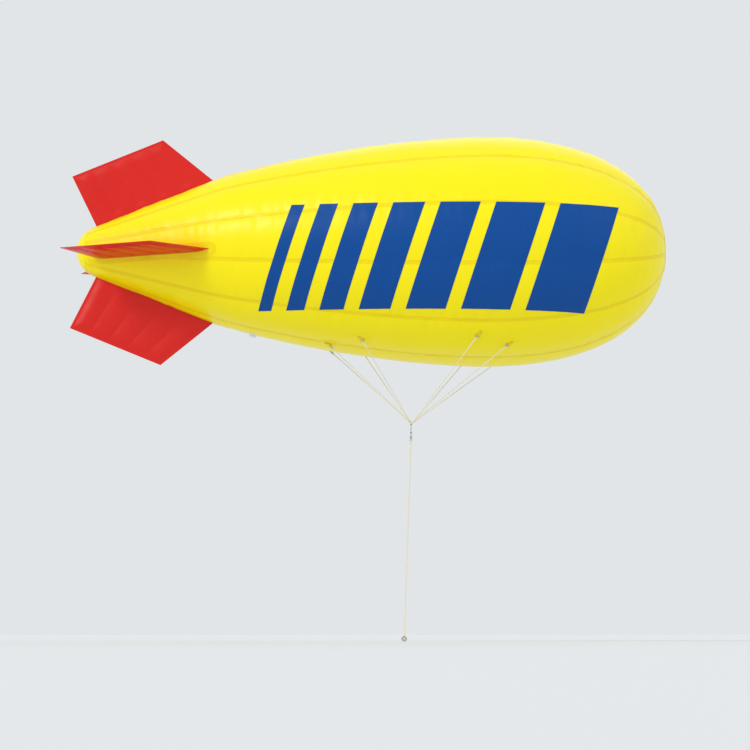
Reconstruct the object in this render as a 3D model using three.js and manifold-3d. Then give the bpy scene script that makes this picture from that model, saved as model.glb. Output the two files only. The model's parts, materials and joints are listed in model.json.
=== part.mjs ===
// An advertising blimp balloon: a helium hull of welded gores with four tail fins,
// a bridle of eight lines gathered on a ring, and a tether that turns on a swivel.
// Millimetres. +X runs to the nose and +Z up. The origin is on the hull's axis, 44 mm
// behind its centre of buoyancy. A station is a distance along the axis from the tail tip.

import * as THREE from "three";
import { mergeVertices } from "three/addons/utils/BufferGeometryUtils.js";
import Module from "manifold-3d";

const wasm = await Module();
wasm.setup();

const DEGREE = Math.PI / 180;
const GAP = 0.3; // between pieces that lie on each other
const SEAM_GAP = 0.3; // between neighbouring gores

// Hull outline: a round tail tip, a cone under the fins, a long curve out to the widest
// station, and a blunt nose
const HULL = { length: 6000, radius: 1170, widest: 4165, shell: 10, origin: 3480 };
const TAIL = {
  tipRadius: 265,
  slope: 21.6 * DEGREE,
  coneEnd: 1350,
  rearHandle: 377,
  frontHandle: 1040,
};
const NOSE = { sideHandle: 1008, tipHandle: 825 };
const OUTLINE_STEPS = { tip: 4, tail: 10, nose: 10, noseCap: 20 };
const GORES = 12;
const FACETS_PER_GORE = 3;
const GORES_END = 110; // the gores stop at the first outline point past this radius
const CAP = { radius: 240, thickness: 3 }; // the end caps reach the last one inside this

// Fins: corners by station and distance from the hull's axis, straight edges between them
const FIN = {
  rearTip: [-66, 785],
  frontTip: [861, 1165],
  frontRoot: [1392, 733],
  rearRoot: [199, 248],
  intoHull: 150,
  hem: 8,
  thickness: 44,
  pillowWidth: 110,
};
const FIN_BAND = { width: 50, thickness: 3, pastRoot: 70 };
const SIDE_FIN_DROP = 95; // the side fins' plane lies this far below the axis

// Each fin: name, direction away from the hull, direction of its thickness, height of its plane
const FINS = [
  { name: "top", out: [0, 0, 1], across: [0, -1, 0], drop: 0 },
  { name: "bottom", out: [0, 0, -1], across: [0, 1, 0], drop: 0 },
  { name: "right", out: [0, -1, 0], across: [0, 0, -1], drop: SIDE_FIN_DROP },
  { name: "left", out: [0, 1, 0], across: [0, 0, 1], drop: SIDE_FIN_DROP },
];

// Bridle: where each line of one side leaves the hull, and its slot on the gathering ring.
// The angle is measured down from the level plane, the slot from the ring's top.
const BRIDLE = [
  { station: 2590, angle: 77 * DEGREE, slot: 12 * DEGREE },
  { station: 2910, angle: 64 * DEGREE, slot: 25 * DEGREE },
  { station: 4055, angle: 54 * DEGREE, slot: 51 * DEGREE },
  { station: 4360, angle: 61 * DEGREE, slot: 38 * DEGREE },
];
const SIDES = [
  { name: "right", y: -1 },
  { name: "left", y: 1 },
];
const PATCH = { radius: 95, thickness: 3 };
const STRAP = { width: 34, length: 60, wall: 3, barHeight: 12, tailHeight: 4 };
const WIRE = 4; // radius of the steel wire of the D rings and the gathering ring
const D_RING_RADIUS = 24;
const LINE_RADIUS = 5;
const EYE = { hole: 4.8, rope: 4 };
const RING = { station: 3405, z: -1804, radius: 50 };

// Tether and swivel: distances are measured down the tether from the ring's lowest wire
const TETHER = { footStation: 3331, footZ: -3956, radius: 8, eyeHole: 4.2, eyeRope: 6.5 };
const SWIVEL = {
  eyeHole: 4.6,
  eyeWire: 3.5,
  stem: 4,
  stemEnd: 46,
  bore: 4.5,
  barrel: 12,
  barrelTop: 24,
  boreEnd: 48,
  barrelEnd: 62,
  lowerEye: 13,
  lowerEyeAt: 73,
};
const THIMBLE = {
  bore: 8,
  cheek: 24.5,
  halfWidth: 8.6,
  lip: 6.9,
  shoulder: 20.6,
  shoulderHalf: 4.4,
  groove: 18.9,
  ropeCentre: 26,
};
const SPLICE = { rope: 6.5, neckTop: 9.5, neckBase: 12, neckLength: 110, neckStart: 27.5 };

// Fill valve under the hull, behind the bridle
const VALVE = { station: 1800, flange: 70, collar: 28, height: 22, cap: 34, capHeight: 14 };

const COLOURS = {
  yellow: { color: "#fff200", roughness: 0.35, metalness: 0 },
  red: { color: "#da251d", roughness: 0.4, metalness: 0 },
  cord: { color: "#f3efdc", roughness: 0.8, metalness: 0 },
  steel: { color: "#b9bcc0", roughness: 0.3, metalness: 1 },
  plastic: { color: "#f4f4f0", roughness: 0.5, metalness: 0 },
};
const materials = {};
for (const [name, look] of Object.entries(COLOURS)) {
  materials[name] = new THREE.MeshStandardMaterial(look);
}

const blimp = new THREE.Group();

// A closed three.js geometry as a solid that can be cut and joined
function solidOf(geometry) {
  const bare = geometry.clone();
  bare.deleteAttribute("normal");
  bare.deleteAttribute("uv");
  const merged = mergeVertices(bare, 1e-4);
  const index = merged.index.array;
  const triangles = [];
  for (let i = 0; i < index.length; i += 3) {
    const [a, b, c] = [index[i], index[i + 1], index[i + 2]];
    if (a !== b && b !== c && c !== a) triangles.push(a, b, c);
  }
  return new wasm.Manifold(
    new wasm.Mesh({
      numProp: 3,
      vertProperties: merged.getAttribute("position").array,
      triVerts: new Uint32Array(triangles),
    }),
  );
}

function geometryOf(solid) {
  const { vertProperties, triVerts } = solid.getMesh();
  const geometry = new THREE.BufferGeometry();
  geometry.setAttribute("position", new THREE.BufferAttribute(vertProperties, 3));
  geometry.setIndex(new THREE.BufferAttribute(triVerts, 1));
  geometry.computeVertexNormals();
  return geometry;
}

function addPiece(name, solid, material) {
  const mesh = new THREE.Mesh(geometryOf(solid), materials[material]);
  mesh.name = name;
  blimp.add(mesh);
}

function joined(solids) {
  return solids.reduce((all, next) => all.add(next));
}

function vector(...numbers) {
  return new THREE.Vector3(...numbers);
}

// Moves a shape drawn in X, Y, Z to an origin and three directions
function placed(geometry, origin, x, y, z) {
  const matrix = new THREE.Matrix4().makeBasis(x, y, z).setPosition(origin);
  return geometry.applyMatrix4(matrix);
}

// Two directions square to the given one
function sideDirections(axis) {
  const spare = Math.abs(axis.y) < 0.9 ? vector(0, 1, 0) : vector(1, 0, 0);
  const first = vector().crossVectors(axis, spare).normalize();
  const second = vector().crossVectors(axis, first).normalize();
  return [first, second];
}

// A round bar between two points, its radius at each
function bar(from, to, fromRadius, toRadius = fromRadius, sides = 8) {
  const axis = to.clone().sub(from);
  const length = axis.length();
  axis.normalize();
  const [side] = sideDirections(axis);
  const other = vector().crossVectors(side, axis);
  const middle = from.clone().addScaledVector(axis, length / 2);
  const geometry = new THREE.CylinderGeometry(toRadius, fromRadius, length, sides);
  return solidOf(placed(geometry, middle, side, axis, other));
}

// A closed ring of round wire about a centre, square to the given normal
function wireRing(centre, normal, radius, wire, steps = 10, sides = 6) {
  const [side, other] = sideDirections(normal);
  const geometry = new THREE.TorusGeometry(radius, wire, sides, steps);
  return solidOf(placed(geometry, centre, side, other, normal));
}

// A profile of [radius, distance] points turned about an axis through the origin point
function turned(profile, origin, axis, steps = 16) {
  const [side] = sideDirections(axis);
  const other = vector().crossVectors(side, axis);
  const points = profile.map(([radius, distance]) => new THREE.Vector2(radius, distance));
  return solidOf(placed(new THREE.LatheGeometry(points, steps), origin, side, axis, other));
}

// The hull's outline from tail tip to nose tip, as points with outward normals
function hullOutline() {
  const { tipRadius, slope, coneEnd, rearHandle, frontHandle } = TAIL;
  const sweep = Math.PI / 2 - slope;
  const outline = [];
  for (let i = 0; i <= OUTLINE_STEPS.tip; i++) {
    const angle = (sweep * i) / OUTLINE_STEPS.tip;
    const normal = new THREE.Vector2(-Math.cos(angle), Math.sin(angle));
    const point = new THREE.Vector2(tipRadius, 0).addScaledVector(normal, tipRadius);
    outline.push({ point, normal });
  }
  const coneStart = outline.at(-1).point;
  const coneRise = (coneEnd - coneStart.x) * Math.tan(slope);
  const rear = new THREE.Vector2(coneEnd, coneStart.y + coneRise);
  const widest = new THREE.Vector2(HULL.widest, HULL.radius);
  const nose = new THREE.Vector2(HULL.length, 0);
  const tailCurve = new THREE.CubicBezierCurve(
    rear,
    new THREE.Vector2(Math.cos(slope), Math.sin(slope)).multiplyScalar(rearHandle).add(rear),
    new THREE.Vector2(widest.x - frontHandle, widest.y),
    widest,
  );
  const noseCurve = new THREE.CubicBezierCurve(
    widest,
    new THREE.Vector2(widest.x + NOSE.sideHandle, widest.y),
    new THREE.Vector2(nose.x, NOSE.tipHandle),
    nose,
  );
  const addPoint = (curve, share) => {
    const tangent = curve.getTangent(share);
    const normal = new THREE.Vector2(-tangent.y, tangent.x);
    outline.push({ point: curve.getPoint(share), normal });
  };
  const { tail, nose: ahead, noseCap } = OUTLINE_STEPS;
  for (let i = 0; i <= tail; i++) addPoint(tailCurve, i / tail);
  for (let i = 1; i < ahead; i++) addPoint(noseCurve, i / ahead);
  addPoint(noseCurve, (noseCap - 1) / noseCap);
  addPoint(noseCurve, 1);
  return outline;
}
const OUTLINE = hullOutline();

// The hull's radius and the outward normal's two parts at a station, between outline points
function hullAt(station) {
  const next = OUTLINE.findIndex(({ point }) => point.x >= station);
  const [a, b] = [OUTLINE[next - 1].point, OUTLINE[next].point];
  const share = (station - a.x) / (b.x - a.x);
  const along = b.clone().sub(a).normalize();
  return { radius: a.y + share * (b.y - a.y), forward: -along.y, outward: along.x };
}

// Outline points moved out by an offset, as lathe points: radius, then place along the axis
function outlineAt(offset, keep = () => true) {
  return OUTLINE.filter(keep).map(({ point, normal }) => {
    const moved = point.clone().addScaledVector(normal, offset);
    const radius = point.y > 0 ? moved.y : 0; // the two tips stay on the axis
    return new THREE.Vector2(radius, moved.x - HULL.origin);
  });
}

// Turns a closed outline about the X axis, with its facet edges on the gore seams
function turnedHull(points) {
  const facets = GORES * FACETS_PER_GORE;
  const geometry = new THREE.LatheGeometry(points, facets, Math.PI / facets);
  return solidOf(geometry.rotateZ(-Math.PI / 2));
}

// The whole hull as one solid, its surface moved out by an offset
function hullSolid(offset) {
  return turnedHull(outlineAt(offset));
}

const hullUnder = hullSolid(GAP); // what a piece on the hull keeps clear of
const hullOver = hullSolid(GAP + PATCH.thickness); // the outer face of a piece on the hull

// A sheet that lies on the hull where a region cuts it
function hullSheet(region) {
  return region.intersect(hullOver).subtract(hullUnder);
}

// The envelope: a shell cut into gores, with a gore's middle under each fin
function makeEnvelope() {
  const onGore = ({ point }) => point.y >= GORES_END;
  const outer = outlineAt(0, onGore);
  const inner = outlineAt(-HULL.shell, onGore).reverse();
  const shell = turnedHull([...outer, ...inner, outer[0]]);
  const half = Math.PI / GORES;
  const reach = 2 * HULL.radius;
  const start = SEAM_GAP / 2 / Math.sin(half);
  for (let i = 0; i < GORES; i++) {
    const middle = 2 * half * i;
    const corner = (angle) => [reach * Math.sin(angle), reach * Math.cos(angle)];
    const shift = [start * Math.sin(middle), start * Math.cos(middle)];
    const wedge = new THREE.Shape(
      [[0, 0], corner(middle - half), corner(middle + half)].map(
        ([across, up]) => new THREE.Vector2(-across - shift[0], up + shift[1]),
      ),
    );
    const sector = new THREE.ExtrudeGeometry(wedge, {
      depth: 2 * HULL.length,
      bevelEnabled: false,
    });
    const origin = vector(-HULL.length, 0, 0);
    placed(sector, origin, vector(0, 1, 0), vector(0, 0, 1), vector(1, 0, 0));
    const name = "envelope_gore_" + String(i + 1).padStart(2, "0");
    addPiece(name, shell.intersect(solidOf(sector)), "yellow");
  }
}

// A round cap over the gore ends at each tip
function makeCaps() {
  for (const [name, atTip] of [
    ["tail_cap", ({ point }) => point.x < HULL.widest && point.y <= CAP.radius],
    ["nose_cap", ({ point }) => point.x > HULL.widest && point.y <= CAP.radius],
  ]) {
    const outer = outlineAt(GAP + CAP.thickness, atTip);
    const inner = outlineAt(GAP, atTip).reverse();
    addPiece(name, turnedHull([...outer, ...inner, outer[0]]), "yellow");
  }
}

// A fin's solid in its own plane, grown on every side
function finSolid(fin, grown) {
  const past = (tip, root) => {
    const [from, to] = [new THREE.Vector2(...tip), new THREE.Vector2(...root)];
    return to.clone().add(to.clone().sub(from).setLength(FIN.intoHull));
  };
  const corners = [
    new THREE.Vector2(...FIN.rearTip),
    past(FIN.rearTip, FIN.rearRoot),
    past(FIN.frontTip, FIN.frontRoot),
    new THREE.Vector2(...FIN.frontTip),
  ];
  const hem = FIN.hem + 2 * grown;
  const geometry = new THREE.ExtrudeGeometry(new THREE.Shape(corners), {
    depth: hem,
    bevelThickness: (FIN.thickness - FIN.hem) / 2,
    bevelSize: FIN.pillowWidth,
    bevelOffset: grown - FIN.pillowWidth,
    bevelSegments: 3,
    curveSegments: 1,
  });
  geometry.translate(-HULL.origin, 0, -hem / 2);
  const across = vector(...fin.across);
  return solidOf(
    placed(geometry, vector(0, 0, -fin.drop), vector(1, 0, 0), vector(...fin.out), across),
  );
}

// Four fins, each welded to the hull by a band that runs round its root
function makeFins() {
  for (const fin of FINS) {
    addPiece("fin_" + fin.name, finSolid(fin, 0).subtract(hullUnder), "red");
    const from = FIN.rearRoot[0] - FIN_BAND.pastRoot;
    const to = FIN.frontRoot[0] + FIN_BAND.pastRoot;
    const width = FIN.thickness + 2 * FIN_BAND.width;
    const box = new THREE.BoxGeometry(to - from, HULL.radius, width);
    const middle = vector((from + to) / 2 - HULL.origin, 0, -fin.drop);
    middle.addScaledVector(vector(...fin.out), HULL.radius / 2);
    const region = solidOf(
      placed(box, middle, vector(1, 0, 0), vector(...fin.out), vector(...fin.across)),
    );
    const band = hullSheet(region).subtract(finSolid(fin, 2 * GAP));
    addPiece("fin_band_" + fin.name, band, "yellow");
  }
}

// The gathering ring stands across the hull, so its lines spread to both sides
const ringCentre = vector(RING.station - HULL.origin, 0, RING.z);
const ringNormal = vector(1, 0, 0);

// The ring's wire centre at an angle from its top towards one side, and the wire's direction
function ringSlot(angle, side) {
  const out = vector(0, side * Math.sin(angle), Math.cos(angle));
  const along = vector(0, side * Math.cos(angle), -Math.sin(angle));
  return { centre: ringCentre.clone().addScaledVector(out, RING.radius), along };
}

// A line's eye round a wire: its centre is the wire's, and it lies in line with the pull
function lineEye(centre, wireDirection, pull, hole, rope) {
  const normal = wireDirection.clone().addScaledVector(pull, -wireDirection.dot(pull));
  return wireRing(centre, normal.normalize(), hole + rope, rope);
}

// One leg of the bridle: a patch with a strap, its D ring, and the line down to the ring
function makeBridleLeg(label, { station, angle, slot }, side) {
  const hull = hullAt(station);
  const round = vector(0, side * Math.cos(angle), -Math.sin(angle));
  const normal = round.clone().multiplyScalar(hull.outward);
  normal.x = hull.forward;
  const foot = vector(station - HULL.origin, 0, 0).addScaledVector(round, hull.radius);
  const barCentre = foot.clone().addScaledVector(normal, STRAP.barHeight);
  const ring = ringSlot(slot, side);
  const pull = ring.centre.clone().sub(barCentre).normalize();
  const along = pull.clone().addScaledVector(normal, -pull.dot(normal)).normalize();
  const across = vector().crossVectors(normal, along);

  const disc = bar(
    foot.clone().addScaledVector(normal, -2 * STRAP.barHeight),
    foot.clone().addScaledVector(normal, 2 * STRAP.barHeight),
    PATCH.radius,
    PATCH.radius,
    16,
  );
  const outerRadius = WIRE + GAP + STRAP.wall;
  const strap = new THREE.Shape();
  strap.moveTo(outerRadius, -STRAP.barHeight);
  strap.lineTo(outerRadius, STRAP.barHeight);
  strap.absarc(0, STRAP.barHeight, outerRadius, 0, 100 * DEGREE);
  strap.lineTo(-STRAP.length, STRAP.tailHeight);
  strap.lineTo(-STRAP.length, -STRAP.barHeight);
  const hole = new THREE.Path();
  hole.absarc(0, STRAP.barHeight, WIRE + 2 * GAP, 0, 2 * Math.PI, true);
  strap.holes.push(hole);
  const webbing = new THREE.ExtrudeGeometry(strap, {
    depth: STRAP.width,
    bevelEnabled: false,
    curveSegments: 4,
  });
  webbing.translate(0, 0, -STRAP.width / 2);
  const reverse = across.clone().negate();
  const strapSolid = solidOf(placed(webbing, foot, along, normal, reverse));
  const patch = hullSheet(disc).add(strapSolid.subtract(hullUnder));
  addPiece("bridle_patch_" + label, patch, "yellow");

  const bow = wireRing(barCentre, vector().crossVectors(across, pull), D_RING_RADIUS, WIRE, 16);
  const span = 100; // more than a D ring takes
  const ahead = new THREE.BoxGeometry(span, span, span / 2).translate(0, 0, span / 4);
  const front = solidOf(
    placed(ahead, barCentre, across, vector().crossVectors(pull, across), pull),
  );
  const barEnd = D_RING_RADIUS + WIRE;
  const straight = bar(
    barCentre.clone().addScaledVector(across, -barEnd),
    barCentre.clone().addScaledVector(across, barEnd),
    WIRE,
  );
  addPiece("bridle_d_ring_" + label, bow.intersect(front).add(straight), "steel");

  const top = barCentre.clone().addScaledVector(pull, D_RING_RADIUS);
  const reach = EYE.hole + EYE.rope;
  const line = joined([
    bar(
      top.clone().addScaledVector(pull, reach),
      ring.centre.clone().addScaledVector(pull, -reach),
      LINE_RADIUS,
      LINE_RADIUS,
      6,
    ),
    lineEye(top, across, pull, EYE.hole, EYE.rope),
    lineEye(ring.centre, ring.along, pull, EYE.hole, EYE.rope),
  ]);
  addPiece("bridle_line_" + label, line, "cord");
}

function makeBridle() {
  for (const side of SIDES) {
    BRIDLE.forEach((leg, i) => makeBridleLeg(side.name + "_" + (i + 1), leg, side.y));
  }
  addPiece("bridle_ring", wireRing(ringCentre, ringNormal, RING.radius, WIRE, 28, 8), "steel");
}

// The tether hangs from the ring's lowest wire, leaning a little to the tail
const tetherTop = ringSlot(Math.PI, 1).centre;
const tetherFoot = vector(TETHER.footStation - HULL.origin, 0, TETHER.footZ);
const down = tetherFoot.clone().sub(tetherTop).normalize();
const tetherLength = tetherFoot.distanceTo(tetherTop);
const acrossTether = vector(0, 1, 0);
const alongHull = vector().crossVectors(acrossTether, down);

// A point on the tether's axis at a distance down it
function downTether(distance) {
  return tetherTop.clone().addScaledVector(down, distance);
}

function makeSwivel() {
  const eyeRadius = SWIVEL.eyeHole + SWIVEL.eyeWire;
  const eye = joined([
    wireRing(tetherTop, acrossTether, eyeRadius, SWIVEL.eyeWire, 16, 8),
    bar(downTether(eyeRadius), downTether(SWIVEL.stemEnd), SWIVEL.stem, SWIVEL.stem, 12),
  ]);
  addPiece("swivel_eye", eye, "steel");

  const { bore, barrel, barrelTop, boreEnd, barrelEnd } = SWIVEL;
  const chamfer = 2;
  const body = turned(
    [
      [0, boreEnd],
      [bore, boreEnd],
      [bore, barrelTop],
      [barrel - chamfer, barrelTop],
      [barrel, barrelTop + chamfer],
      [barrel, barrelEnd - chamfer],
      [barrel - 2 * chamfer, barrelEnd],
      [0, barrelEnd],
    ],
    tetherTop,
    down,
  );
  const lower = wireRing(
    downTether(SWIVEL.lowerEyeAt),
    acrossTether,
    SWIVEL.lowerEye,
    SWIVEL.eyeWire,
    16,
    8,
  );
  addPiece("swivel_barrel", body.add(lower), "steel");
}

function makeTether() {
  const eyeAt = SWIVEL.lowerEyeAt + SWIVEL.lowerEye;
  const eyeRadius = TETHER.eyeHole + TETHER.eyeRope;
  const thimbleAt = tetherLength - THIMBLE.ropeCentre - SPLICE.rope;
  const neckTop = thimbleAt - SPLICE.neckStart - SPLICE.neckLength;
  const rope = joined([
    wireRing(downTether(eyeAt), alongHull, eyeRadius, TETHER.eyeRope, 14, 8),
    bar(downTether(eyeAt + eyeRadius), downTether(neckTop - GAP), TETHER.radius),
  ]);
  addPiece("tether", rope, "cord");

  const centre = downTether(thimbleAt);
  const neck = bar(
    downTether(neckTop),
    downTether(thimbleAt - SPLICE.neckStart),
    SPLICE.neckTop,
    SPLICE.neckBase,
  );
  const loop = wireRing(centre, acrossTether, THIMBLE.ropeCentre, SPLICE.rope, 20, 8);
  addPiece("tether_end_splice", loop.add(neck), "cord");

  const { bore, cheek, halfWidth, lip, shoulder, shoulderHalf, groove } = THIMBLE;
  const thimble = turned(
    [
      [bore, -halfWidth],
      [cheek, -halfWidth],
      [cheek, -lip],
      [shoulder, -shoulderHalf],
      [groove, 0],
      [shoulder, shoulderHalf],
      [cheek, lip],
      [cheek, halfWidth],
      [bore, halfWidth],
      [bore, -halfWidth],
    ],
    centre,
    acrossTether,
    20,
  );
  addPiece("tether_thimble", thimble, "steel");
}

// The fill valve: a flange welded on the belly with a collar, and a cap that plugs it
function makeValve() {
  const hull = hullAt(VALVE.station);
  const out = vector(hull.forward, 0, -hull.outward);
  const foot = vector(VALVE.station - HULL.origin, 0, -hull.radius);
  const at = (height) => foot.clone().addScaledVector(out, height);
  const depth = 20;
  const disc = bar(at(-depth), at(depth), VALVE.flange, VALVE.flange, 24);
  const collar = bar(at(-depth), at(VALVE.height), VALVE.collar, VALVE.collar, 20);
  const flange = hullSheet(disc).add(collar.subtract(hullUnder));
  addPiece("valve_flange", flange, "plastic");
  const rim = 5;
  const knob = 14;
  const cap = turned(
    [
      [0, VALVE.height + GAP],
      [VALVE.collar + GAP, VALVE.height + GAP],
      [VALVE.collar + GAP, VALVE.height - rim],
      [VALVE.cap, VALVE.height - rim],
      [VALVE.cap, VALVE.height + rim],
      [VALVE.cap - rim / 2, VALVE.height + rim + rim / 2],
      [knob, VALVE.height + rim + rim / 2],
      [knob, VALVE.height + VALVE.capHeight],
      [0, VALVE.height + VALVE.capHeight],
    ],
    foot,
    out,
    20,
  );
  addPiece("valve_cap", cap, "plastic");
}

makeEnvelope();
makeCaps();
makeFins();
makeBridle();
makeSwivel();
makeTether();
makeValve();

export default blimp;
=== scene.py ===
"""The looks of an advertising blimp balloon: a helium hull of welded gores, four
quilted tail fins, a bridle of laid lines and a tether on a swivel. Metres; +X runs to
the nose, +Z up, and the origin is on the hull's axis. Angles round the hull are
measured from +Z towards the right flank, which is the side at -Y."""

import json
import math
from bisect import bisect_left
from contextlib import contextmanager
from itertools import accumulate

import bpy
from mathutils import Matrix, Vector, noise

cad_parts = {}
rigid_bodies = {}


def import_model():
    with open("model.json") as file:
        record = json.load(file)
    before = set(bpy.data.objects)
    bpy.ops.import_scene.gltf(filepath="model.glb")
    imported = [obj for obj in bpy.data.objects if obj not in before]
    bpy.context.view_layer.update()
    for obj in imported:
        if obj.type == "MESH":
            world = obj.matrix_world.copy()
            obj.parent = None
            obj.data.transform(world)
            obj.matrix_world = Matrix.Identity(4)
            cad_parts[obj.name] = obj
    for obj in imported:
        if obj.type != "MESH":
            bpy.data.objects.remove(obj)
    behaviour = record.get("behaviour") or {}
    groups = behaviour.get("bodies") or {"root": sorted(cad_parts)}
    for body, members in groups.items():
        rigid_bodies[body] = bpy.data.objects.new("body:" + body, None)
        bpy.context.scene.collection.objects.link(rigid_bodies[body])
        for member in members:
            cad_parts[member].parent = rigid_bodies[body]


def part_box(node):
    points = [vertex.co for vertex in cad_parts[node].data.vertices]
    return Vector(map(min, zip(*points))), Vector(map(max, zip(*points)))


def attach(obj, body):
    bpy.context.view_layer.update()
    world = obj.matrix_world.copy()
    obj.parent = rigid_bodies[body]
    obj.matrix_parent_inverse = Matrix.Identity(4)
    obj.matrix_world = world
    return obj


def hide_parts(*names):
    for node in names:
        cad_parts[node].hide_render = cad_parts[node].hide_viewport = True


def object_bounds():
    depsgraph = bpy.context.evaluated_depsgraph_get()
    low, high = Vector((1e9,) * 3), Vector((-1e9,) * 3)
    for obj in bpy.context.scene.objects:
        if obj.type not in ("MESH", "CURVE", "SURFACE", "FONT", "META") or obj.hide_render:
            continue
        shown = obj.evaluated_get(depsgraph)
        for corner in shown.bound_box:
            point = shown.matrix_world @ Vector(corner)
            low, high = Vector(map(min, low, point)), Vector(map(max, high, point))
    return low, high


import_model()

CAD_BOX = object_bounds()
DEGREE = math.radians(1)
MM = 0.001
UP = Vector((0, 0, 1))
FORWARD = Vector((1, 0, 0))

# Hull outline: a round tail tip, a cone under the fins, a long curve out to the widest
# station, a blunt nose
HULL = {"length": 6.0, "radius": 1.17, "widest": 4.165, "origin": 3.48}
TAIL = {"tip": 0.265, "slope": 21.6 * DEGREE, "cone_end": 1.35}
CURVE = {"rear_handle": 0.377, "front_handle": 1.04}
NOSE = {"side_handle": 1.008, "tip_handle": 0.825}
OUTLINE_STEP = 0.005  # between the outline's points, along it

# Gores: the welded strips. A seam lies deeper than the middle of its gores.
GORES = 12
HALF_GORE = math.pi / GORES
GORE = {
    "step": 22 * MM,
    "columns": 20,
    "crowding": 1.6,  # how much closer its columns stand towards the seams
    "end_radius": 0.11,
    "shell": 10 * MM,
    "gap": 0.15 * MM,
}
PILLOW = 0.05  # depth of a seam below its gores, as a share of half a gore's width
# Puckers along the seams. Each side of a seam reads its own line of the noise, set apart.
PUCKER = {"depth": 8.0 * MM, "reach": 55 * MM, "length": 0.08, "apart": 9.7, "seed": 0.5}
SLACK = {"depth": 2.5 * MM, "length": 0.55}  # long soft waves over the whole film
FADE_WIDTH = 0.15  # puckers and waves die away where half a gore is narrower than this
TAPE = {"half_width": 20 * MM, "columns": 6, "lift": 0.3 * MM, "thickness": 0.9 * MM}
END_DISC = {"sides": 96, "rings": 14, "thickness": 2 * MM, "edge": 0.8 * MM}
SHEET_LIFT = 0.3 * MM  # what lies on the film starts this far out
DROP = {"sheet": 0.2, "disc": 0.1}  # how far outside the hull each starts its drop onto it

# Fins: corners by station and distance from the hull's axis
FIN_CORNERS = {
    "rear_tip": (-0.066, 0.785),
    "front_tip": (0.861, 1.165),
    "front_root": (1.392, 0.733),
    "rear_root": (0.199, 0.248),
}
FREE_EDGES = (("rear_tip", "front_tip"), ("front_tip", "front_root"), ("rear_tip", "rear_root"))
FIN = {
    "thickness": 44 * MM,
    "edge": 6 * MM,
    "round": 1.5 * MM,
    "hem": 24 * MM,
    "shoulder": 100 * MM,
}
FIN_GRID = {"columns": 110, "rows": 60}
TUBES = {"count": 5, "groove": 0.5}
# Where the tubes begin and how far they take to rise, in shares of the fin's height
TUBE_ENDS = {"root": (0.05, 0.12), "tip": (0.02, 0.1)}
WRINKLE = {"share": 0.04, "per_metre": 14, "seed": 3.1}
FLANGE = {
    "reach": 72 * MM,
    "gap": 0.8 * MM,
    "thickness": 2.2 * MM,
    "straight": 90,  # steps along each side of the fin, round each end, and outwards
    "bend": 16,
    "rings": 5,
}
SIDE_FIN_DROP = 0.095
# Each fin: name, direction away from the hull, direction of its thickness, drop of its plane
FINS = (
    ("top", Vector((0, 0, 1)), Vector((0, -1, 0)), 0.0),
    ("bottom", Vector((0, 0, -1)), Vector((0, 1, 0)), 0.0),
    ("right", Vector((0, -1, 0)), Vector((0, 0, -1)), SIDE_FIN_DROP),
    ("left", Vector((0, 1, 0)), Vector((0, 0, 1)), SIDE_FIN_DROP),
)

# Bridle of one side: station, angle below the level plane, slot on the ring from its top
BRIDLE = (
    (2.590, 77 * DEGREE, 12 * DEGREE),
    (2.910, 64 * DEGREE, 25 * DEGREE),
    (4.055, 54 * DEGREE, 51 * DEGREE),
    (4.360, 61 * DEGREE, 38 * DEGREE),
)
SIDES = (("right", -1), ("left", 1))
PATCH = {"radius": 95 * MM, "inner": 62 * MM, "layer": 1.5 * MM, "edge": 0.5 * MM}
PATCH_GRID = {"sides": 56, "rings": 9}
STRAP = {
    "width": 34 * MM,
    "length": 62 * MM,
    "thickness": 1.7 * MM,
    "bar_height": 12 * MM,
    "play": 0.3 * MM,  # between the webbing and the ring's bar
    "lap": 1.05,  # from one layer's middle to the other's, in thicknesses
    "edge": 0.4 * MM,
    "columns": 8,
}
# The strap's fold round the bar: first angle, sweep, steps, and where the layers below and
# above it start, in fold radii, the upper one a little higher there
FOLD = {
    "first": -0.62 * math.pi,
    "sweep": 1.2 * math.pi,
    "steps": 14,
    "below": 2.2,
    "above": 3.0,
    "rise": 1.2 * MM,
}
# Rows of stitches by their distance from the strap's end, and the thread of each stitch
STITCH_ROWS = (6 * MM, 12 * MM, 31 * MM, 25 * MM)
STITCH = {"count": 9, "pitch": 3.4 * MM, "length": 2.6 * MM, "thread": 0.45 * MM, "up": 0.15 * MM}
WIRE = 4 * MM
D_RING = {"radius": 24 * MM, "corner": 7 * MM}
RING = {"centre": Vector((-0.075, 0, -1.804)), "radius": 50 * MM}
RING_WELD = {"half_length": 3 * MM, "thick": 1.14}

# Ropes. A splice starts at a share of its eye's neck, and is so thick and so thin in rope radii.
LINE = {
    "radius": 4.9 * MM,
    "pitch": 36 * MM,
    "eye": 9.2 * MM,
    "neck": 28 * MM,
    "splice": 75 * MM,
    "splice_from": 0.82,
    "thick": 1.55,
    "thin": 1.08,
}
TETHER = {
    "radius": 8 * MM,
    "pitch": 56 * MM,
    "eye": 12 * MM,
    "neck": 34 * MM,
    "splice": 105 * MM,
    "splice_from": 0.8,
    "thick": 1.5,
    "thin": 1.06,
}
END_LOOP = {
    "centre": 26 * MM,
    "clear": 6.5 * MM,  # from the rope's middle line to the foot
    "radius": 6.4 * MM,
    "pitch": 45 * MM,
    "neck": 110 * MM,
    "neck_start": 27.5 * MM,
    "neck_base": 12 * MM,
    "neck_top": 9 * MM,
}
# A splice's share under tucked strands, the times they cross, their rise there in strand radii
SPLICE = {"tucked": 0.86, "tucks": 12, "rise": 0.3}
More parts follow.
